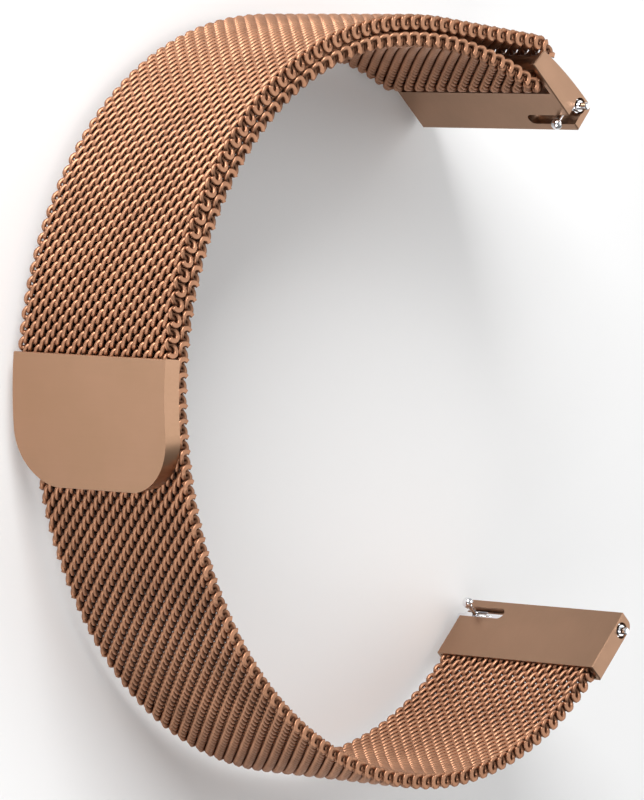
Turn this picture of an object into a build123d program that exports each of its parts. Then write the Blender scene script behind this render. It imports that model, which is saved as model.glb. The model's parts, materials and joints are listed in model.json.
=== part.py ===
"""A woven-steel watch band with a fold-back magnetic clasp and two quick-release spring bars.

The band lies on its long edge: Z runs across its width, and the strap's open C is drawn in X and Y.
A place on the strap is (s, n): s runs along the inner layer's centreline, from the mouth of the
lower end piece, round the back and over the top to the buckle, and n is the height above that
centreline, towards the outside of the C. Lengths are in millimetres and angles in degrees.
"""

from build123d import *
import math
import os

# Where the frame's origin lies in the drawing of the C.
CENTRE_X = -32.23
CENTRE_Y = 29.812

# The C's centreline: its start, its first heading, and arcs of (radius, turn), all turning clockwise.
START_X = -0.59
START_Y = 0.5
START_HEADING = 225.83
ARCS = [(34.44, 47.58), (40.5, 44.46), (43.8, 38.07), (36.45, 43.27), (33.19, 43.23), (41.44, 34.6)]

# Across the band.
LUG_WIDTH = 22.0
SPRUNG_TIP_PROUD = 1.1
FIXED_TIP_PROUD = 0.8
BAND_LOW = SPRUNG_TIP_PROUD
BAND_HIGH = BAND_LOW + LUG_WIDTH
MESH_WIDTH = 20.8
MESH_LOW = BAND_LOW + (LUG_WIDTH - MESH_WIDTH) / 2

# The mesh: rows of wire coil, one row hooked into the next.
ROW_PITCH = 0.77
MESH_HALF = 0.8
LAYER_GAP = 1.8
FOLD_RADIUS = 2.3
FOLD_S = 166.3

# The strap bends at these rows. Between them it is stiff.
LOWER_ROWS = [5, 25, 45, 65, 85, 105]
UPPER_ROWS = [126, 147, 168, 189, 210]
PEEL_ROW = 143
LOWER_FLATTEN = 20.0
UPPER_FLATTEN = 22.0
CURL = 5.0
PEEL = 45.0
CUT_SPARE = 0.8
END_GAP = 0.03

# The end piece that holds the start of the mesh: x runs along the strap from its mouth, y outwards.
END_ANGLE = 228.0
END_LENGTH = 7.7
END_HALF = 1.1
END_PIN_X = -6.1
MOUTH_DEPTH = 3.0
MOUTH_HALF = 0.86
MESH_END_S = -1.75
RETAINER_RADIUS = 0.25
RETAINER_X = -2.05

# The buckle that the strap folds back through: x runs along it from its free end, y outwards.
BUCKLE_X = -14.49
BUCKLE_Y = 65.47
BUCKLE_ANGLE = -40.1
BUCKLE_LENGTH = 10.3
BUCKLE_FREE_HEIGHT = 2.35
BUCKLE_PIN_HEIGHT = 3.25
BUCKLE_ARM = 0.55
PIN_BAR_X = 4.6
BUCKLE_PIN_X = 8.7
BUCKLE_PIN_Y = 2.0
CROSSBAR_X = 1.05
CROSSBAR_Y = 1.2
CROSSBAR_RADIUS = 0.85
EDGE_BREAK = 0.1

# Each quick-release spring bar, measured from the end that its lever is at.
BORE_RADIUS = 0.8
COUNTERBORE_RADIUS = 0.9
COUNTERBORE_DEPTH = 1.0
TUBE_RADIUS = 0.75
TUBE_BORE = 0.64
TUBE_RECESS = 0.4
TIP_RADIUS = 0.4
TIP_CHAMFER = 0.12
PLUNGER_RADIUS = 0.6
PLUNGER_END = 5.6
LEVER_Z = 1.75
LEVER_RADIUS = 0.3
LEVER_REACH = 2.6
BALL_RADIUS = 0.62
LEVER_TRAVEL = 1.2
LEVER_SLOT_WIDTH = 1.4
LEVER_SLOT_LENGTH = 6.0
SPRING_RADIUS = 0.34
SPRING_WIRE = 0.08
SPRING_TURNS = 9
SPRING_ROOM = 0.1
SEAT_START = 13.9

# The magnetic clasp on the strap's outer end.
CLASP_WIDTH = 21.1
CLASP_LOW = BAND_LOW + (LUG_WIDTH - CLASP_WIDTH) / 2
CLASP_BOTTOM_S = 81.8
CLASP_TOP_S = 94.66
CLASP_BACK_N = 0.86
CLASP_SEAM_N = 1.25
CLASP_FACE_N = 3.0
CLASP_SKIN = 0.5
CLASP_WALL = 0.8
CLASP_CORNER = 6.0
CLASP_ROUND = 0.2
CLASP_MOUTH_DEPTH = 2.4
CLASP_ROD_DEPTH = 1.5
CLASP_MESH_DEPTH = 1.2
TONGUE_WIDTH = 19.6
TONGUE_ROOM = 0.1
CLASP_MOUTH_N = (0.8, 2.66)
MAGNET_COUNT = 4
MAGNET_WIDTH = 4.2
MAGNET_STEP = 4.5
MAGNET_SPAN = (85.4, 91.0)
MAGNET_N = (1.3, 2.0)
POLE_PLATE_N = (2.04, 2.4)


def walk(s):
    """The centreline's point and heading in radians at s."""
    x, y, heading = START_X, START_Y, math.radians(START_HEADING)
    for index, (radius, turn) in enumerate(ARCS):
        length = radius * math.radians(turn)
        step = s if index == len(ARCS) - 1 else min(s, length)
        ahead = heading - step / radius
        x += radius * (math.sin(heading) - math.sin(ahead))
        y += radius * (math.cos(ahead) - math.cos(heading))
        heading = ahead
        s -= step
        if s <= 0:
            break
    return x, y, heading


def place(s, n):
    """The point at s along the strap and n outwards, in the row frame."""
    x, y, heading = walk(s)
    return Vector(x - n * math.sin(heading) - CENTRE_X, y + n * math.cos(heading) - CENTRE_Y)


def row(count):
    return count * ROW_PITCH


# The outer layer follows the inner one, then leaves it on the line that touches the fold.
LAST_RADIUS = ARCS[-1][0]
LEAVE_ANGLE = math.acos((LAST_RADIUS + LAYER_GAP - FOLD_RADIUS) / (LAST_RADIUS + FOLD_RADIUS))
LEAVE_S = FOLD_S - LAST_RADIUS * LEAVE_ANGLE


def outer_offset(s):
    """How far the outer layer's centreline is from the inner layer's."""
    past = max(0.0, s - LEAVE_S) / LAST_RADIUS
    return (LAST_RADIUS + LAYER_GAP) / math.cos(past) - LAST_RADIUS if past else LAYER_GAP


class Cut:
    """A strap block's end at a bend: two planes through the pivot that leave room to turn."""

    def __init__(self, s, pivot, inner_angle, outer_angle):
        self.s = s
        self.pivot = pivot
        self.inner = math.tan(math.radians(inner_angle))
        self.outer = math.tan(math.radians(outer_angle))

    def at(self, n, side):
        """The place of the end at height n, on the block that lies towards side (+1 or -1)."""
        slope = self.outer if n > self.pivot else self.inner
        return self.s + side * (END_GAP + abs(n - self.pivot) * slope)


def bend(count, pivot, flatten):
    return Cut(row(count), pivot, CURL / 2 + CUT_SPARE, flatten / 2 + CUT_SPARE)


LOWER_BENDS = [bend(count, 0.0, LOWER_FLATTEN) for count in LOWER_ROWS]
UPPER_BENDS = [bend(count, LAYER_GAP / 2, UPPER_FLATTEN) for count in UPPER_ROWS]
PEEL_BEND = Cut(row(PEEL_ROW), LAYER_GAP, CUT_SPARE, PEEL / 2 + CUT_SPARE)


def square(s):
    """A block's end with no bend."""
    return Cut(s, 0.0, 0.0, 0.0)


def along(s0, s1, n0, n1):
    """The arc from (s0, n0) to (s1, n1)."""
    return ThreePointArc(place(s0, n0), place((s0 + s1) / 2, (n0 + n1) / 2), place(s1, n1))


def mesh_block(start, end, middle):
    """A stretch of woven mesh from one bend to the next; middle(s) is its centreline's height."""
    n_start, n_end = middle(start.s), middle(end.s)
    heights_start = [n_start - MESH_HALF, n_start + MESH_HALF]
    heights_end = [n_end - MESH_HALF, n_end + MESH_HALF]
    if heights_start[0] < start.pivot < heights_start[1]:
        heights_start.insert(1, start.pivot)
    if heights_end[0] < end.pivot < heights_end[1]:
        heights_end.insert(1, end.pivot)
    first = [(start.at(n, 1), n) for n in heights_start]
    last = [(end.at(n, -1), n) for n in heights_end]
    outline = along(first[0][0], last[0][0], first[0][1], last[0][1])
    outline += Polyline(*[place(s, n) for s, n in last])
    outline += along(last[-1][0], first[-1][0], last[-1][1], first[-1][1])
    outline += Polyline(*[place(s, n) for s, n in reversed(first)])
    return Pos(0, 0, MESH_LOW) * extrude(make_face(outline), MESH_WIDTH)


def inner_layer(s):
    return 0.0


def turned(centre, radius, angle):
    return centre + Vector(radius * math.cos(angle), radius * math.sin(angle))


def mesh_fold():
    """The strap's turn round the buckle's crossbar, with both layers up to the last bend."""
    cut = UPPER_BENDS[-1]
    centre = place(FOLD_S, FOLD_RADIUS)
    leave = walk(FOLD_S)[2] - math.pi / 2
    back = leave + math.pi + LEAVE_ANGLE
    half_way = (leave + back) / 2
    outer_n = outer_offset(cut.s)
    inside, outside = FOLD_RADIUS - MESH_HALF, FOLD_RADIUS + MESH_HALF
    low_inner, low_outer = cut.at(-MESH_HALF, 1), cut.at(MESH_HALF, 1)
    top_inner, top_outer = cut.at(outer_n - MESH_HALF, 1), cut.at(outer_n + MESH_HALF, 1)
    outline = along(low_inner, FOLD_S, -MESH_HALF, -MESH_HALF)
    outline += ThreePointArc(
        place(FOLD_S, -MESH_HALF), turned(centre, outside, half_way), turned(centre, outside, back)
    )
    outline += Polyline(
        turned(centre, outside, back),
        place(top_outer, outer_n + MESH_HALF),
        place(top_inner, outer_n - MESH_HALF),
        turned(centre, inside, back),
    )
    outline += ThreePointArc(
        turned(centre, inside, back), turned(centre, inside, half_way), place(FOLD_S, MESH_HALF)
    )
    outline += along(FOLD_S, low_outer, MESH_HALF, MESH_HALF)
    outline += Line(place(low_outer, MESH_HALF), place(low_inner, -MESH_HALF))
    return Pos(0, 0, MESH_LOW) * extrude(make_face(outline), MESH_WIDTH)


def strap_frame(x, y, angle, z=BAND_LOW):
    """A plane with x along the strap at the angle, y outwards and z across the band."""
    direction = (math.cos(math.radians(angle)), math.sin(math.radians(angle)), 0)
    return Plane(origin=(x - CENTRE_X, y - CENTRE_Y, z), x_dir=direction, z_dir=(0, 0, 1))


END_FRAME = strap_frame(START_X, START_Y, END_ANGLE)
BUCKLE_FRAME = strap_frame(BUCKLE_X, BUCKLE_Y, BUCKLE_ANGLE)


def bar_frame(frame, x, y, from_high):
    """The spring bar's frame: its axis as z, from the lever's end inwards, with y outwards."""
    if not from_high:
        return frame * Plane(origin=(x, y, 0))
    return frame * Plane(origin=(x, y, LUG_WIDTH), x_dir=(-1, 0, 0), z_dir=(0, 0, -1))


END_BAR = bar_frame(END_FRAME, END_PIN_X, 0.0, from_high=False)
BUCKLE_BAR = bar_frame(BUCKLE_FRAME, BUCKLE_PIN_X, BUCKLE_PIN_Y, from_high=True)


def rod(radius, low, high):
    """A round bar on the z axis from low to high."""
    return Pos(0, 0, low) * Cylinder(radius, high - low, align=(Align.CENTER, Align.CENTER, Align.MIN))


def block(low, high):
    """A box between two corners."""
    size = [b - a for a, b in zip(low, high)]
    return Pos(*low) * Box(*size, align=(Align.MIN, Align.MIN, Align.MIN))


def lever_cut(depth):
    """The spring bar's bore, wider at both ends, and the slot that lets its lever out on the wrist side."""
    bore = rod(BORE_RADIUS, -1, LUG_WIDTH + 1)
    bore += rod(COUNTERBORE_RADIUS, -1, COUNTERBORE_DEPTH)
    bore += rod(COUNTERBORE_RADIUS, LUG_WIDTH - COUNTERBORE_DEPTH, LUG_WIDTH + 1)
    half = LEVER_SLOT_WIDTH / 2
    slot = block((-half, -depth, -1), (half, 0, LEVER_SLOT_LENGTH - half))
    turn = Pos(0, -depth / 2, LEVER_SLOT_LENGTH - half) * Rot(90, 0, 0) * Cylinder(half, depth)
    return bore + slot + turn


def end_piece():
    """The lower end piece, with a mouth for the mesh and a bore for its spring bar."""
    outline = Polyline(
        (0, -END_HALF), (0, END_HALF), (-END_LENGTH, END_HALF), (-END_LENGTH, -END_HALF), close=True
    )
    body = extrude(make_face(outline), LUG_WIDTH)
    pin_corner = body.edges().filter_by(Axis.Z).sort_by(Axis.X)[:2].sort_by(Axis.Y)
    body = fillet(pin_corner[1], END_HALF * 0.8)
    body = chamfer(body.faces().filter_by(Axis.Z).edges(), EDGE_BREAK)
    side = (LUG_WIDTH - MESH_WIDTH) / 2 - 0.15
    body -= block((-MOUTH_DEPTH, -MOUTH_HALF, side), (1, MOUTH_HALF, LUG_WIDTH - side))
    return END_FRAME * body - END_BAR * lever_cut(2 * END_HALF) - retainer(END_FRAME, RETAINER_X, 0)


def retainer(frame, x, y):
    """The rod through the last row of coils, with its ends in the side walls."""
    margin = (LUG_WIDTH - MESH_WIDTH) / 4
    return frame * Pos(x, y, 0) * rod(RETAINER_RADIUS, margin, LUG_WIDTH - margin)


def buckle_outline():
    """The buckle from the side: flat on the wrist side, bowed on the outside."""
    free_top = (0.28, BUCKLE_FREE_HEIGHT)
    bow = (BUCKLE_LENGTH * 0.55, BUCKLE_FREE_HEIGHT * 0.25 + BUCKLE_PIN_HEIGHT * 0.75 + 0.1)
    pin_top = (BUCKLE_LENGTH, BUCKLE_PIN_HEIGHT)
    outline = ThreePointArc(free_top, bow, pin_top)
    outline += Polyline(pin_top, (BUCKLE_LENGTH, 0), (0, 0), free_top)
    return make_face(outline)


def buckle_frame():
    """Two arms, the bar that holds the spring bar, and the crossbar that the strap folds round."""
    body = extrude(buckle_outline(), LUG_WIDTH)
    pin_edge = body.edges().filter_by(Axis.Z).sort_by(Axis.X)[-2:].sort_by(Axis.Y)
    body = fillet(pin_edge[1], 0.7)
    body = chamfer(body.faces().filter_by(Axis.Z).edges(), EDGE_BREAK)
    opening = block((-1, -1, BUCKLE_ARM), (PIN_BAR_X, 5, LUG_WIDTH - BUCKLE_ARM))
    body -= opening
    body += Pos(CROSSBAR_X, CROSSBAR_Y, 0) * rod(CROSSBAR_RADIUS, BUCKLE_ARM / 2, LUG_WIDTH - BUCKLE_ARM / 2)
    return BUCKLE_FRAME * body - BUCKLE_BAR * lever_cut(2 * BUCKLE_PIN_Y)


def bar_tube():
    body = rod(TUBE_RADIUS, TUBE_RECESS, LUG_WIDTH - TUBE_RECESS)
    body -= rod(TUBE_BORE, -1, LUG_WIDTH + 1)
    half = LEVER_RADIUS + 0.08
    return body - block((-half, -1, LEVER_Z - half), (half, 0, LEVER_Z + LEVER_TRAVEL + half))


def bar_lever():
    """The stem that stands out of the plunger on the wrist side."""
    return Pos(0, 0, LEVER_Z) * Rot(90, 0, 0) * rod(LEVER_RADIUS, 0, LEVER_REACH)


def bar_plunger():
    tip = rod(TIP_RADIUS, -SPRUNG_TIP_PROUD, 0)
    tip = chamfer(tip.faces().sort_by(Axis.Z)[0].edges(), TIP_CHAMFER)
    return tip + rod(PLUNGER_RADIUS, 0, PLUNGER_END) - bar_lever()


def bar_knob():
    return Pos(0, -LEVER_REACH, LEVER_Z) * Sphere(BALL_RADIUS) - bar_lever()


def bar_fixed_tip():
    tip = rod(TIP_RADIUS, LUG_WIDTH, LUG_WIDTH + FIXED_TIP_PROUD)
    tip = chamfer(tip.faces().sort_by(Axis.Z)[-1].edges(), TIP_CHAMFER)
    neck = rod(PLUNGER_RADIUS, LUG_WIDTH - TUBE_RECESS, LUG_WIDTH)
    return tip + neck + rod(TUBE_BORE, SEAT_START, LUG_WIDTH - TUBE_RECESS)


def bar_spring():
    """The coil spring between the plunger and the fixed tip."""
    low = PLUNGER_END + SPRING_ROOM
    height = SEAT_START - SPRING_ROOM - low
    path = Helix(pitch=height / SPRING_TURNS, height=height, radius=SPRING_RADIUS)
    wire = Plane(origin=path @ 0, z_dir=path % 0) * Circle(SPRING_WIRE)
    return Pos(0, 0, low) * sweep(wire, path=path, is_frenet=True)


def clasp_layer(n0, n1, s0=CLASP_BOTTOM_S, s1=CLASP_TOP_S):
    """A full-width slab that follows the strap from s0 to s1 between the heights n0 and n1."""
    outline = along(s0, s1, n0, n0) + Line(place(s1, n0), place(s1, n1))
    outline += along(s1, s0, n1, n1) + Line(place(s0, n1), place(s0, n0))
    return Pos(0, 0, CLASP_LOW) * extrude(make_face(outline), CLASP_WIDTH)


def clasp_shape(inset, top_inset=0.0):
    """A prism with the clasp's outline: straight at the top, with two round lower corners."""
    low, high = place(CLASP_BOTTOM_S, CLASP_FACE_N), place(CLASP_TOP_S, CLASP_FACE_N)
    up = high - low
    length = up.length + 2.0 - inset - top_inset
    width = CLASP_WIDTH - 2 * inset
    seen = Plane(origin=low + Vector(0, 0, CLASP_LOW), x_dir=(up.X, up.Y, 0), z_dir=(-up.Y, up.X, 0))
    blank = Rectangle(length, width, align=(Align.MIN, Align.MIN))
    corners = blank.vertices().sort_by(Axis.X)[:2]
    blank = fillet(corners, CLASP_CORNER - inset)
    across = seen.y_dir.Z
    shift = inset if across > 0 else -inset - width
    return seen * Pos(inset, shift, -6) * extrude(blank, 12)


def clasp_mouth():
    """The recess at the clasp's top edge that takes the end of the mesh."""
    slab = clasp_layer(*CLASP_MOUTH_N, CLASP_TOP_S - CLASP_MOUTH_DEPTH, CLASP_TOP_S + 1)
    margin = (CLASP_WIDTH - TONGUE_WIDTH) / 2 - TONGUE_ROOM
    return slab & Pos(0, 0, CLASP_LOW) * block((-99, -99, margin), (99, 99, CLASP_WIDTH - margin))


def clasp_mesh():
    """The outer layer's last stretch of mesh, narrower where it goes into the clasp."""
    whole = mesh_block(square(CLASP_TOP_S - CLASP_MESH_DEPTH), UPPER_BENDS[0], outer_offset)
    inside = clasp_layer(0, CLASP_FACE_N, CLASP_TOP_S - CLASP_MOUTH_DEPTH, CLASP_TOP_S + 0.05)
    margin = (CLASP_WIDTH - TONGUE_WIDTH) / 2
    for low in (CLASP_LOW, CLASP_LOW + CLASP_WIDTH - margin):
        whole -= inside & block((-99, -99, low), (99, 99, low + margin))
    return whole


def clasp_retainer():
    spot = place(CLASP_TOP_S - CLASP_ROD_DEPTH, LAYER_GAP)
    margin = (CLASP_WIDTH - TONGUE_WIDTH) / 4
    return Pos(spot.X, spot.Y, CLASP_LOW) * rod(RETAINER_RADIUS, margin, CLASP_WIDTH - margin)


def clasp_cover():
    shell = clasp_layer(CLASP_SEAM_N, CLASP_FACE_N) & clasp_shape(0)
    outer_face = shell.faces().filter_by(GeomType.CYLINDER).sort_by(Axis.X)[0]
    shell = fillet(outer_face.edges().filter_by(GeomType.LINE), CLASP_ROUND)
    hollow = clasp_layer(0, CLASP_FACE_N - CLASP_SKIN) & clasp_shape(CLASP_WALL, CLASP_MOUTH_DEPTH + 2.5)
    return shell - hollow - clasp_mouth() - clasp_retainer()


def clasp_back_plate():
    return clasp_layer(CLASP_BACK_N, CLASP_SEAM_N) & clasp_shape(0) - clasp_mouth()


def clasp_magnets():
    """Flat magnets side by side across the clasp."""
    slab = clasp_layer(*MAGNET_N, *MAGNET_SPAN)
    magnets = []
    for index in range(MAGNET_COUNT):
        middle = BAND_LOW + LUG_WIDTH / 2 + (index - (MAGNET_COUNT - 1) / 2) * MAGNET_STEP
        low, high = middle - MAGNET_WIDTH / 2, middle + MAGNET_WIDTH / 2
        magnets.append(slab & block((-99, -99, low), (99, 99, high)))
    return Compound(children=magnets)


def clasp_pole_plate():
    return clasp_layer(*POLE_PLATE_N) & clasp_shape(CLASP_WALL + 0.2, CLASP_MOUTH_DEPTH + 3.0)


def parts():
    """Every piece by its node name."""
    made = {}
    lower = [square(MESH_END_S)] + LOWER_BENDS
    names = ["end"] + [str(index) for index in range(len(LOWER_BENDS) - 1, 0, -1)]
    for name, start, end in zip(names, lower, lower[1:]):
        made[f"mesh_lower_{name}"] = mesh_block(start, end, inner_layer)
    made["mesh_back"] = mesh_block(LOWER_BENDS[-1], UPPER_BENDS[0], inner_layer)
    for index, (start, end) in enumerate(zip(UPPER_BENDS, UPPER_BENDS[1:]), 1):
        made[f"mesh_inner_{index}"] = mesh_block(start, end, inner_layer)
        if index > 1:
            made[f"mesh_outer_{index}"] = mesh_block(start, end, outer_offset)
    made["mesh_outer_tail"] = mesh_block(UPPER_BENDS[0], PEEL_BEND, outer_offset)
    made["mesh_outer_link"] = mesh_block(PEEL_BEND, UPPER_BENDS[1], outer_offset)
    made["mesh_fold"] = mesh_fold()
    made["mesh_clasp_end"] = clasp_mesh()
    made["end_piece"] = end_piece()
    made["end_mesh_retainer"] = retainer(END_FRAME, RETAINER_X, 0)
    made["buckle_frame"] = buckle_frame()
    for side, frame in (("end", END_BAR), ("buckle", BUCKLE_BAR)):
        made[f"{side}_bar_tube"] = frame * bar_tube()
        made[f"{side}_bar_plunger"] = frame * bar_plunger()
        made[f"{side}_bar_lever"] = frame * bar_lever()
        made[f"{side}_bar_knob"] = frame * bar_knob()
        made[f"{side}_bar_fixed_tip"] = frame * bar_fixed_tip()
        made[f"{side}_bar_spring"] = frame * bar_spring()
    made["clasp_cover"] = clasp_cover()
    made["clasp_back_plate"] = clasp_back_plate()
    made["clasp_magnets"] = clasp_magnets()
    made["clasp_pole_plate"] = clasp_pole_plate()
    made["clasp_mesh_retainer"] = clasp_retainer()
    return made


def main():
    os.makedirs("parts", exist_ok=True)
    whole = parts()
    low = [min(getattr(p.bounding_box().min, axis) for p in whole.values()) for axis in "XYZ"]
    high = [max(getattr(p.bounding_box().max, axis) for p in whole.values()) for axis in "XYZ"]
    print("whole object from", [round(v, 3) for v in low], "to", [round(v, 3) for v in high])
    for name, shape in whole.items():
        export_step(shape, f"parts/{name}.step")


main()
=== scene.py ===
"""The looks of a woven-steel watch band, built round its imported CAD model.

The strap is one web of hooked wire coils. A place on it is (t, n, z): t runs along the web's middle
line, from the lower end piece, round the back and over the top, round the buckle's crossbar and back
along the outside to the clasp. n is the height to the left of that line, and z runs across the band.
"""

import json
import math

import bpy
import numpy as np
from mathutils import Matrix, Vector


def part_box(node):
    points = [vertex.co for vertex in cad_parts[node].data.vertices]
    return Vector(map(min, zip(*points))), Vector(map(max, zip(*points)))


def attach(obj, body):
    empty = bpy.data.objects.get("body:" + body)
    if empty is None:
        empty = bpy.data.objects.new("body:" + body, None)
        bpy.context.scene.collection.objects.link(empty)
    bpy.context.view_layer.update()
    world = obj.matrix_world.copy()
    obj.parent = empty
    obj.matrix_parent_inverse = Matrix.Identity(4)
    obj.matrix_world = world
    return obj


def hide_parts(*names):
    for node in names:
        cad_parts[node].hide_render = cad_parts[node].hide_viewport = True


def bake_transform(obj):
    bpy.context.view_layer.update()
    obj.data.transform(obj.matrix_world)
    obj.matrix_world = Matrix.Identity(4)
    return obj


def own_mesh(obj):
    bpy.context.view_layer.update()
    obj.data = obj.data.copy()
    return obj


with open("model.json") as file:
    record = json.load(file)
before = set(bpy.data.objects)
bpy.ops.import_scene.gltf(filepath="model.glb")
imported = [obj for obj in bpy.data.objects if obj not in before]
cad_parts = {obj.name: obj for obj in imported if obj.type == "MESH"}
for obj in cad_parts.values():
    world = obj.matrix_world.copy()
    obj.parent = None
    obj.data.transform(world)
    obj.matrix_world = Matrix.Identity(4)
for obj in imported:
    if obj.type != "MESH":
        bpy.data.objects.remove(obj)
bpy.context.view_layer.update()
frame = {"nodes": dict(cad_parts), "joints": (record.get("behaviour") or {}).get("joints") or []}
joints = {joint["name"]: joint for joint in frame["joints"]}
MM = 0.001

# ---------------------------------------------------------------- the strap's line, as in the CAD

CENTRE_X = -32.23 * MM
CENTRE_Y = 29.812 * MM
START = (-0.59 * MM, 0.5 * MM)
START_HEADING = math.radians(225.83)
ARCS = [(34.44, 47.58), (40.5, 44.46), (43.8, 38.07), (36.45, 43.27), (33.19, 43.23), (41.44, 34.6)]
LAST_RADIUS = ARCS[-1][0] * MM
LAYER_GAP = 1.8 * MM
FOLD_RADIUS = 2.3 * MM
FOLD_S = 166.3 * MM
LEAVE_ANGLE = math.acos((LAST_RADIUS + LAYER_GAP - FOLD_RADIUS) / (LAST_RADIUS + FOLD_RADIUS))
LEAVE_S = FOLD_S - LAST_RADIUS * LEAVE_ANGLE
FIRST_ROW_S = -2.05 * MM
LAST_ROW_S = 93.21 * MM
BLOCK_ROW = 0.77 * MM
LEAD_IN = 2 * MM
LINE_STEP = 0.05 * MM


def walk(s):
    """The inner layer's middle line at s: x, y and heading."""
    x, y = START
    heading = START_HEADING
    for index, (radius_mm, turn) in enumerate(ARCS):
        radius = radius_mm * MM
        length = radius * math.radians(turn)
        step = s if index == len(ARCS) - 1 else min(s, length)
        ahead = heading - step / radius
        x += radius * (math.sin(heading) - math.sin(ahead))
        y += radius * (math.cos(ahead) - math.cos(heading))
        heading = ahead
        s -= step
        if s <= 0:
            break
    return x - CENTRE_X, y - CENTRE_Y, heading


def place(s, n):
    """The point at height n over the inner layer's middle line at s."""
    x, y, heading = walk(s)
    return x - n * math.sin(heading), y + n * math.cos(heading)


def outer_place(s):
    """The outer layer's middle line beside s."""
    past = max(0.0, s - LEAVE_S) / LAST_RADIUS
    n = (LAST_RADIUS + LAYER_GAP) / math.cos(past) - LAST_RADIUS if past else LAYER_GAP
    return place(s, n)


def web_line():
    """The whole web's middle line as arrays: length along it, x, y and heading."""
    step = LINE_STEP
    line = []
    for s in np.arange(FIRST_ROW_S - LEAD_IN, FOLD_S, step):
        line.append(walk(float(s)))
    centre = place(FOLD_S, FOLD_RADIUS)
    first = walk(FOLD_S)[2]
    for turn in np.arange(0, math.pi + LEAVE_ANGLE, step / FOLD_RADIUS):
        heading = first + float(turn)
        x = centre[0] + FOLD_RADIUS * math.sin(heading)
        y = centre[1] - FOLD_RADIUS * math.cos(heading)
        line.append((x, y, heading))
    back = first + math.pi + LEAVE_ANGLE
    touch = (centre[0] + FOLD_RADIUS * math.sin(back), centre[1] - FOLD_RADIUS * math.cos(back))
    leave = place(LEAVE_S, LAYER_GAP)
    count = int(math.dist(touch, leave) / step)
    for index in range(count):
        share = index / count
        x = touch[0] + share * (leave[0] - touch[0])
        y = touch[1] + share * (leave[1] - touch[1])
        line.append((x, y, back))
    for s in np.arange(LEAVE_S, LAST_ROW_S - LEAD_IN, -step):
        x, y = place(float(s), LAYER_GAP)
        line.append((x, y, walk(float(s))[2] + math.pi))
    line = np.array(line)
    heading = np.unwrap(line[:, 2])
    length = np.r_[0, np.cumsum(np.hypot(np.diff(line[:, 0]), np.diff(line[:, 1])))]
    return length, line[:, 0], line[:, 1], heading


WEB_T, WEB_X, WEB_Y, WEB_HEADING = web_line()


def nearest_t(point, after=0.0):
    """The place along the web that is nearest to the point."""
    distance = np.hypot(WEB_X - point[0], WEB_Y - point[1])
    distance[WEB_T < after] = np.inf
    return float(WEB_T[distance.argmin()])


def inner_t(s):
    """The place along the web of station s on the inner layer."""
    return s - FIRST_ROW_S + LEAD_IN


FOLD_T = inner_t(FOLD_S)


def outer_t(s):
    """The place along the web of the outer layer beside station s."""
    return nearest_t(outer_place(s), after=FOLD_T + FOLD_RADIUS)


def to_frame(t, n, z):
    """Points of the web as row-frame coordinates."""
    x, y = np.interp(t, WEB_T, WEB_X), np.interp(t, WEB_T, WEB_Y)
    heading = np.interp(t, WEB_T, WEB_HEADING)
    return np.stack([x - n * np.sin(heading), y + n * np.cos(heading), z], axis=-1)


# ---------------------------------------------------------------- the woven web

mesh_low, mesh_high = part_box("mesh_back")
MID_Z = (mesh_low.z + mesh_high.z) / 2
HALF_WIDTH = (mesh_high.z - mesh_low.z) / 2

# A coil: its wire, half its height, half its length along the strap, and how boxy it is.
WIRE_RADIUS = 0.225 * MM
MESH_HEIGHT = 0.85 * MM
COIL_REACH = 0.72 * MM
COIL_SQUARENESS = 0.65
COIL_TURNS = 14
SIDES = 8
STEPS_PER_TURN = 18

# Its ends: shorter, rounder and thicker loops, pressed into the edge's plane, ground flat and tucked in.
EDGE_REACH = 0.46 * MM
EDGE_WIRE_RADIUS = 0.28 * MM
EVEN_EDGE_DEPTH = 0.32 * MM
EDGE_ZONE = 0.16 * MM
EDGE_SQUEEZE = 0.15
EDGE_SPARE = 0.50 * MM
EDGE_TURN_IN = 0.60 * MM
END_PAST = math.radians(60)
GROUND_TOLERANCE = 0.0005 * MM

# The heights, as shares of the mesh's, between which the wire's painted shade fades to its own colour. The
# painted shade is a near-black colour standing in for the shade in the weave's gaps.
PAINTED_SHADE_TO = 0.15
PAINTED_SHADE_FROM = 0.75
# How far in from the band's edges the painted gap shade fades out, so the edge loops show unshaded.
EDGE_PAINTED_SHADE_FADE = 0.5 * MM

FIRST_T = inner_t(FIRST_ROW_S)
LAST_T = outer_t(LAST_ROW_S)
ROWS = 2 * round((LAST_T - FIRST_T) / (2 * BLOCK_ROW)) + 1
ROW_PITCH = (LAST_T - FIRST_T) / (ROWS - 1)
COIL_PITCH = 2 * (HALF_WIDTH + EDGE_SPARE) / (COIL_TURNS + 2 * END_PAST / (2 * math.pi))


def coil_angles(odd):
    """The turning of one coil from the high edge to the low one. Neighbours are half a turn apart."""
    high, low = -END_PAST, 2 * math.pi * COIL_TURNS + END_PAST
    if not odd:
        high, low = high - math.pi, low - math.pi
    count = round((low - high) / (2 * math.pi) * STEPS_PER_TURN) + 1
    return np.linspace(high, low, count)


def squared(wave, power):
    """A sine or cosine, with flatter tops for a power below 1: a rounded box with straight sides."""
    return np.sign(wave) * np.abs(wave) ** power


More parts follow.
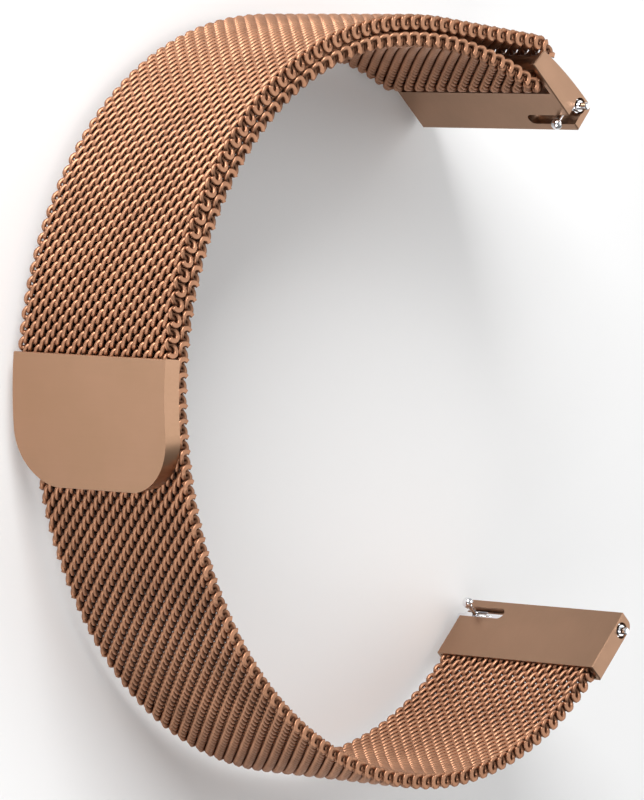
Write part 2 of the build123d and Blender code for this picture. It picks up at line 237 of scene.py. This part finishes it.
def coil_tube(t_middle, odd):
    """One row's wire: its vertices, how far each is clear of the painted gap shade, and its count of rings.

    Both ends curl into a loop that is ground flat. Odd rows' loops show at the band's edge, and even
    rows' loops lie just under them.
    """
    angle = coil_angles(odd)
    natural = COIL_PITCH * (COIL_TURNS / 2 - (angle + (0 if odd else math.pi)) / (2 * math.pi))
    edge_plane = HALF_WIDTH if odd else HALF_WIDTH - EVEN_EDGE_DEPTH
    zone = edge_plane - EDGE_ZONE
    squeezed = zone + (np.abs(natural) - zone) * EDGE_SQUEEZE
    z = np.where(np.abs(natural) > zone, np.sign(natural) * squeezed, natural)
    inwards = np.clip((np.abs(natural) - zone) / EDGE_TURN_IN + 0.5, 0, 1)
    reach = COIL_REACH + (EDGE_REACH - COIL_REACH) * inwards
    power = COIL_SQUARENESS + (1 - COIL_SQUARENESS) * inwards
    wire = WIRE_RADIUS + (EDGE_WIRE_RADIUS - WIRE_RADIUS) * inwards
    height = MESH_HEIGHT - wire
    forward, above = reach * squared(np.cos(angle), power), height * squared(np.sin(angle), power)
    centre = np.stack([forward, above, z], axis=-1)
    tangent = np.gradient(centre, axis=0)
    tangent /= np.linalg.norm(tangent, axis=1)[:, None]
    outward = np.stack([centre[:, 0], centre[:, 1], 0 * angle], axis=-1)
    outward -= (outward * tangent).sum(1)[:, None] * tangent
    outward /= np.linalg.norm(outward, axis=1)[:, None]
    across = np.cross(tangent, outward)
    round_wire = np.linspace(0, 2 * math.pi, SIDES, endpoint=False)
    ring = np.cos(round_wire)[None, :, None] * outward[:, None, :]
    ring = ring + np.sin(round_wire)[None, :, None] * across[:, None, :]
    points = (centre[:, None, :] + wire[:, None, None] * ring).reshape(-1, 3)
    across_z = np.clip(points[:, 2], -edge_plane, edge_plane)
    # Painted shade: the wire is darkened towards the weave's middle height, where the gaps between coils lie
    # in shade, but not near the band's edges.
    outer = np.clip((np.abs(points[:, 1]) / MESH_HEIGHT - PAINTED_SHADE_TO) / (PAINTED_SHADE_FROM - PAINTED_SHADE_TO), 0, 1)
    edge = np.clip((np.abs(across_z) - HALF_WIDTH) / EDGE_PAINTED_SHADE_FADE + 1, 0, 1)
    vertices = to_frame(t_middle + points[:, 0], points[:, 1], MID_Z + across_z)
    return vertices, np.maximum(outer, edge), len(angle)


def tube_faces(rings, first):
    """Quads along a tube of rings, with both ends closed."""
    ring, side = np.meshgrid(np.arange(rings - 1), np.arange(SIDES), indexing="ij")
    beside = (side + 1) % SIDES
    quads = np.stack(
        [ring * SIDES + side, ring * SIDES + beside, (ring + 1) * SIDES + beside, (ring + 1) * SIDES + side],
        axis=-1,
    ).reshape(-1, 4)
    faces = (quads + first).tolist()
    faces.append([first + side for side in reversed(range(SIDES))])
    faces.append([first + (rings - 1) * SIDES + side for side in range(SIDES)])
    return faces


def new_piece(name, vertices, faces, material, smooth=True):
    """A new mesh object in the scene."""
    mesh = bpy.data.meshes.new(name)
    mesh.from_pydata(vertices, [], faces)
    mesh.update()
    mesh.materials.append(material)
    if smooth:
        mesh.polygons.foreach_set("use_smooth", [True] * len(mesh.polygons))
    piece = bpy.data.objects.new(name, mesh)
    bpy.context.scene.collection.objects.link(piece)
    return piece


def web_piece(name, t0, t1, material):
    """The web's rows whose middles lie from t0 to t1."""
    vertices, clear_of_painted_shade, faces = [], [], []
    count = 0
    for row in range(ROWS):
        t = FIRST_T + row * ROW_PITCH
        if not t0 <= t < t1:
            continue
        points, share_clear_of_painted_shade, rings = coil_tube(t, row % 2 == 1)
        faces += tube_faces(rings, count)
        vertices.append(points)
        clear_of_painted_shade.append(share_clear_of_painted_shade)
        count += len(points)
    points = np.concatenate(vertices)
    piece = new_piece(name, points.tolist(), faces, material)
    ground = np.abs(points[:, 2] - MID_Z) > HALF_WIDTH - GROUND_TOLERANCE
    round_faces = [not all(ground[corner] for corner in face) for face in faces]
    piece.data.polygons.foreach_set("use_smooth", round_faces)
    # Per point, how far the wire is clear of the painted gap shade that the wire's material mixes in.
    attribute = piece.data.attributes.new("clear_of_painted_shade", "FLOAT", "POINT")
    attribute.data.foreach_set("value", np.concatenate(clear_of_painted_shade).astype(np.float32))
    return piece


# ---------------------------------------------------------------- materials


def principled(name):
    """A new material: itself, its nodes, its links and its shader."""
    material = bpy.data.materials.new(name)
    material.use_nodes = True
    nodes, links = material.node_tree.nodes, material.node_tree.links
    return material, nodes, links, nodes["Principled BSDF"]


def noise(nodes, links, scale, stretch=(1, 1, 1), detail=3.0):
    """A noise texture in the row frame's coordinates; stretch shortens the grain along an axis."""
    position = nodes.new("ShaderNodeTexCoord")
    mapping = nodes.new("ShaderNodeMapping")
    mapping.inputs["Scale"].default_value = stretch
    texture = nodes.new("ShaderNodeTexNoise")
    texture.inputs["Scale"].default_value = scale
    texture.inputs["Detail"].default_value = detail
    links.new(position.outputs["Object"], mapping.inputs["Vector"])
    links.new(mapping.outputs["Vector"], texture.inputs["Vector"])
    return texture.outputs["Fac"]


def ramp(nodes, links, factor, stops):
    """Colours or greys along a factor from 0 to 1."""
    node = nodes.new("ShaderNodeValToRGB")
    for index, (position, colour) in enumerate(stops):
        element = node.color_ramp.elements[index] if index < 2 else node.color_ramp.elements.new(position)
        element.position = position
        element.color = (*colour, 1.0)
    links.new(factor, node.inputs["Fac"])
    return node.outputs["Color"]


def bump(nodes, links, height, distance, bsdf, strength):
    """Fine relief on a shader."""
    node = nodes.new("ShaderNodeBump")
    node.inputs["Strength"].default_value = strength
    node.inputs["Distance"].default_value = distance
    links.new(height, node.inputs["Height"])
    links.new(node.outputs["Normal"], bsdf.inputs["Normal"])


def mixed(nodes, links, factor, first, second):
    """The second colour over the first one by a factor."""
    node = nodes.new("ShaderNodeMix")
    node.data_type = "RGBA"
    links.new(factor, node.inputs["Factor"])
    for socket, colour in ((node.inputs["A"], first), (node.inputs["B"], second)):
        if isinstance(colour, tuple):
            socket.default_value = (*colour, 1.0)
        else:
            links.new(colour, socket)
    return node.outputs["Result"]


PATCH_SCALE = 180.0
GRAIN_STRENGTH = 0.6


def metal(name, light, dark, rough, grain_scale, stretch, grain_height, painted_gap_shade=None):
    """Plated metal: uneven colour, uneven polish and fine grain. Its gap colour, where given, is painted
    shade deep in a weave's gaps.
    """
    material, nodes, links, bsdf = principled(name)
    bsdf.inputs["Metallic"].default_value = 1.0
    patches = noise(nodes, links, PATCH_SCALE)
    colour = ramp(nodes, links, patches, [(0.35, dark), (0.65, light)])
    # Painted shade: the gap colour darkens the wire deep in the weave, where its gaps lie in shade.
    if painted_gap_shade:
        clear_of_painted_shade = nodes.new("ShaderNodeAttribute")
        clear_of_painted_shade.attribute_name = "clear_of_painted_shade"
        colour = mixed(nodes, links, clear_of_painted_shade.outputs["Fac"], painted_gap_shade, colour)
    links.new(colour, bsdf.inputs["Base Color"])
    grain = noise(nodes, links, grain_scale, stretch, detail=5.0)
    low, high = rough
    links.new(ramp(nodes, links, grain, [(0.3, (low,) * 3), (0.7, (high,) * 3)]), bsdf.inputs["Roughness"])
    bump(nodes, links, grain, grain_height, bsdf, GRAIN_STRENGTH)
    return material


# The wire's near-black gap colour is painted shade in the weave's gaps.
wire_metal = metal(
    "rose_gold_wire", light=(0.50, 0.26, 0.155), dark=(0.41, 0.21, 0.125), rough=(0.42, 0.55),
    grain_scale=2600.0, stretch=(1, 1, 1), grain_height=0.006 * MM, painted_gap_shade=(0.04, 0.012, 0.006),
)
clasp_metal = metal(
    "rose_gold_clasp", light=(0.44, 0.26, 0.165), dark=(0.42, 0.25, 0.155), rough=(0.30, 0.38),
    grain_scale=3000.0, stretch=(1, 1, 0.03), grain_height=0.002 * MM,
)
fitting_metal = metal(
    "rose_gold_fitting", light=(0.38, 0.225, 0.145), dark=(0.35, 0.21, 0.135), rough=(0.30, 0.38),
    grain_scale=3000.0, stretch=(0.2, 0.2, 1), grain_height=0.002 * MM,
)
bright_steel = metal(
    "bright_steel", light=(0.90, 0.90, 0.91), dark=(0.84, 0.84, 0.86), rough=(0.05, 0.10),
    grain_scale=4000.0, stretch=(1, 1, 0.1), grain_height=0.0005 * MM,
)
dull_steel = metal(
    "dull_steel", light=(0.55, 0.54, 0.53), dark=(0.48, 0.47, 0.46), rough=(0.3, 0.45),
    grain_scale=3000.0, stretch=(1, 1, 1), grain_height=0.002 * MM,
)

# ---------------------------------------------------------------- the web's pieces

# How far from a joint the web would bend; beside the clasp, which is stiff, less far. outer_web works out
# these spans but does not use them, so the pieces do not bend.
REACH = 7.9 * MM
CLASP_SIDE_REACH = 1.0 * MM
PEEL_REACH = 5.0 * MM
FOLD_END = FOLD_S - 0.9 * MM
HALF_GAP = 0.1 * MM


def joint_s(name):
    """The station of a joint, from its place in the record."""
    x, y, _ = joints[name]["pos_m"]
    stations = np.arange(0, FOLD_S, LINE_STEP)
    return float(min(stations, key=lambda s: math.dist(place(float(s), 0.0), (x, y))))


LOWER = [joint_s(f"lower_bend_{index}") for index in range(1, 7)]
UPPER = [joint_s(f"upper_bend_{index}") for index in range(1, 6)]
LINK = joint_s("outer_link_bend")
PEEL = joint_s("clasp_peel")


def middle(a, b):
    return (a + b) / 2


def middles(stations):
    """The places halfway between neighbouring stations."""
    return [middle(a, b) for a, b in zip(stations, stations[1:])]


def bend_piece(name, t0, t1, stands_for):
    """Rows of web across one joint, from t0 to t1, in place of the CAD nodes it stands for."""
    piece = web_piece(name, t0, t1, wire_metal)
    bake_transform(piece)
    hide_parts(*stands_for)
    return piece


def lower_web():
    """The inner layer from the end piece up to the middle of the back."""
    back_middle = middle(LOWER[0], UPPER[0])
    limits = [back_middle] + middles(LOWER) + [FIRST_ROW_S - HALF_GAP]
    nodes = [["mesh_back", "mesh_lower_1"]] + [[f"mesh_lower_{index}"] for index in (2, 3, 4, 5)]
    nodes.append(["mesh_lower_end"])
    for index, station in enumerate(LOWER):
        t0, t1 = inner_t(limits[index + 1]), inner_t(limits[index])
        bend_piece(f"web_lower_{index + 1}", t0, t1, nodes[index])


def upper_web():
    """The inner layer from the middle of the back to the fold."""
    limits = [middle(LOWER[0], UPPER[0])] + middles(UPPER) + [FOLD_S]
    for index, station in enumerate(UPPER):
        t0, t1 = inner_t(limits[index]), inner_t(limits[index + 1])
        nodes = [f"mesh_inner_{index + 1}"] if index < 4 else []
        bend_piece(f"web_upper_{index + 1}", t0, t1, nodes)


def outer_web():
    """The fold, and the outer layer from the fold back to the clasp."""
    fold_end = outer_t(FOLD_END)
    fold = web_piece("web_fold", FOLD_T, fold_end, wire_metal)
    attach(fold, "buckle")
    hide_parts("mesh_fold")
    joints_back = ["upper_bend_5", "upper_bend_4", "upper_bend_3"]
    joints_back += ["outer_link_bend", "clasp_peel", "clasp_bend"]
    stations = [UPPER[4], UPPER[3], UPPER[2], LINK, PEEL, UPPER[0]]
    limits = [FOLD_END, middle(UPPER[4], UPPER[3]), middle(UPPER[3], UPPER[2])]
    limits += [middle(UPPER[2], UPPER[1]), middle(LINK, PEEL)]
    limits += [middle(PEEL, UPPER[0]), LAST_ROW_S - HALF_GAP]
    nodes = [[], ["mesh_outer_4"], ["mesh_outer_3"], ["mesh_outer_2", "mesh_outer_link"]]
    nodes += [["mesh_outer_tail"], ["mesh_clasp_end"]]
    for index, (joint, station) in enumerate(zip(joints_back, stations)):
        near, far = limits[index], limits[index + 1]
        t0, t1 = outer_t(near), outer_t(far)
        if index == 0:
            t0 = fold_end
        if index == len(stations) - 1:
            t1 = LAST_T + HALF_GAP
        reach = min(REACH, near - station, station - far)
        start, end = outer_t(station + reach), outer_t(station - reach)
        if joint == "clasp_peel":
            start, end = outer_t(station), outer_t(station - min(PEEL_REACH, station - far))
        if joint == "clasp_bend":
            start, end = outer_t(near), outer_t(station - CLASP_SIDE_REACH)
        if joint.startswith("upper"):
            start, end = end, start
        bend_piece(f"web_outer_{index + 1}", t0, t1, nodes[index])


lower_web()
upper_web()
outer_web()

# ---------------------------------------------------------------- the CAD nodes that show


SHARP_ANGLE = math.radians(30)


def round_shading():
    """A modifier's node tree that shades every edge flatter than the sharp angle smooth."""
    tree = bpy.data.node_groups.new("round_shading", "GeometryNodeTree")
    tree.interface.new_socket("Geometry", in_out="INPUT", socket_type="NodeSocketGeometry")
    tree.interface.new_socket("Geometry", in_out="OUTPUT", socket_type="NodeSocketGeometry")
    start, end = tree.nodes.new("NodeGroupInput"), tree.nodes.new("NodeGroupOutput")
    faces = tree.nodes.new("GeometryNodeSetShadeSmooth")
    edges = tree.nodes.new("GeometryNodeSetShadeSmooth")
    edges.domain = "EDGE"
    angle, flat = tree.nodes.new("GeometryNodeInputMeshEdgeAngle"), tree.nodes.new("FunctionNodeCompare")
    flat.operation = "LESS_THAN"
    flat.inputs["B"].default_value = SHARP_ANGLE
    tree.links.new(angle.outputs["Unsigned Angle"], flat.inputs["A"])
    tree.links.new(flat.outputs["Result"], edges.inputs["Shade Smooth"])
    tree.links.new(start.outputs["Geometry"], faces.inputs["Geometry"])
    tree.links.new(faces.outputs["Geometry"], edges.inputs["Geometry"])
    tree.links.new(edges.outputs["Geometry"], end.inputs["Geometry"])
    return tree


ROUND_SHADING = round_shading()


def dress(node, material):
    """Gives a CAD node its material, and smooth shading over its round faces."""
    part = frame["nodes"][node]
    part.data.materials.clear()
    part.data.materials.append(material)
    part.modifiers.new("round_shading", "NODES").node_group = ROUND_SHADING
    return part


for node in ("end_piece", "buckle_frame"):
    dress(node, fitting_metal)
for node in ("clasp_cover", "clasp_back_plate"):
    dress(node, clasp_metal)
for node in ("clasp_magnets", "clasp_pole_plate", "end_mesh_retainer", "clasp_mesh_retainer"):
    dress(node, dull_steel)
for side in ("end", "buckle"):
    for part in ("tube", "plunger", "lever", "knob", "fixed_tip"):
        dress(f"{side}_bar_{part}", bright_steel)

# ---------------------------------------------------------------- the springs

SPRING_TURNS = 9
SPRING_WIRE = 0.08 * MM
SPRING_STEPS = 16


def spring_piece(side, body):
    """A coil spring in the CAD spring's place, attached to the given body."""
    low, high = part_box(f"{side}_bar_spring")
    centre_x, centre_y = (low.x + high.x) / 2, (low.y + high.y) / 2
    radius = (high.x - low.x) / 2 - SPRING_WIRE
    angle = np.linspace(0, 2 * math.pi * SPRING_TURNS, SPRING_TURNS * SPRING_STEPS + 1)
    along = np.linspace(low.z + SPRING_WIRE, high.z - SPRING_WIRE, len(angle))
    round_wire = np.linspace(0, 2 * math.pi, SIDES, endpoint=False)
    out = radius + SPRING_WIRE * np.cos(round_wire)[None, :]
    x = centre_x + out * np.cos(angle)[:, None]
    y = centre_y + out * np.sin(angle)[:, None]
    z = along[:, None] - SPRING_WIRE * np.sin(round_wire)[None, :]
    vertices = np.stack([x, y, z], axis=-1).reshape(-1, 3)
    piece = new_piece(f"{side}_spring_coil", vertices.tolist(), tube_faces(len(angle), 0), bright_steel)
    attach(piece, body)
    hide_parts(f"{side}_bar_spring")
    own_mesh(piece)


spring_piece("end", "lower_end")
spring_piece("buckle", "buckle")

# ---------------------------------------------------------------- floor, light and camera


FLOOR_COLOUR = (0.88, 0.88, 0.88)
FLOOR_HALF = 6.0


def make_floor():
    """A plain pale matt floor that the band lies on."""
    half = FLOOR_HALF
    floor = new_piece(
        "floor",
        [(-half, -half, 0), (half, -half, 0), (half, half, 0), (-half, half, 0)],
        [(0, 1, 2, 3)],
        bpy.data.materials.new("floor"),
        smooth=False,
    )
    material = floor.data.materials[0]
    material.use_nodes = True
    bsdf = material.node_tree.nodes["Principled BSDF"]
    bsdf.inputs["Base Color"].default_value = (*FLOOR_COLOUR, 1.0)
    bsdf.inputs["Roughness"].default_value = 1.0
    bsdf.inputs["Specular IOR Level"].default_value = 0.0


def make_world():
    """Soft studio light from all round, brightest from +Y."""
    world = bpy.data.worlds.new("studio")
    bpy.context.scene.world = world
    world.use_nodes = True
    nodes, links = world.node_tree.nodes, world.node_tree.links
    background = nodes["Background"]
    position = nodes.new("ShaderNodeTexCoord")
    split = nodes.new("ShaderNodeSeparateXYZ")
    links.new(position.outputs["Generated"], split.inputs["Vector"])
    lift = nodes.new("ShaderNodeMapRange")
    lift.inputs["From Min"].default_value = -1.0
    lift.inputs["From Max"].default_value = 1.0
    links.new(split.outputs["Y"], lift.inputs["Value"])
    links.new(
        ramp(nodes, links, lift.outputs["Result"], [(0.2, (0.45, 0.45, 0.45)), (0.8, (1.0, 1.0, 1.0))]),
        background.inputs["Color"],
    )
    background.inputs["Strength"].default_value = 0.45


def make_light(name, towards, distance, size, power):
    """A square soft box that lights the band's middle from the given direction."""
    light = bpy.data.lights.new(name, "AREA")
    light.size = size
    light.energy = power
    box = bpy.data.objects.new(name, light)
    direction = Vector(towards).normalized()
    box.location = Vector((0, 0, MID_Z)) + direction * distance
    box.rotation_mode = "QUATERNION"
    box.rotation_quaternion = direction.to_track_quat("Z", "Y")
    bpy.context.scene.collection.objects.link(box)


def make_camera():
    """The photograph's viewpoint: +Y is up in the picture, and the band's high edge is nearest."""
    camera = bpy.data.cameras.new("camera")
    camera.lens = 270
    camera.sensor_width = 36
    camera.clip_start = 0.01
    camera.clip_end = 20
    body = bpy.data.objects.new("camera", camera)
    right = Vector((0.66502, 0.03176, 0.74615)).normalized()
    back = Vector((-0.74682, 0.0303, 0.66433)).normalized()
    up = back.cross(right)
    matrix = Matrix((right, up, back)).transposed().to_4x4()
    matrix.translation = Vector((-502.746 * MM - CENTRE_X, 48.589 * MM - CENTRE_Y, 429.01 * MM))
    body.matrix_world = matrix
    bpy.context.scene.collection.objects.link(body)
    bpy.context.scene.camera = body


make_floor()
make_world()
make_light("key", (-0.55, 0.75, 0.42), 0.42, 0.25, 2.4)
make_light("top", (0.6, 0.15, 0.8), 0.7, 0.65, 1.7)
make_light("fill", (-0.8, -0.6, 0.5), 0.7, 0.5, 2.0)
make_camera()
bpy.context.scene.view_settings.view_transform = "Standard"
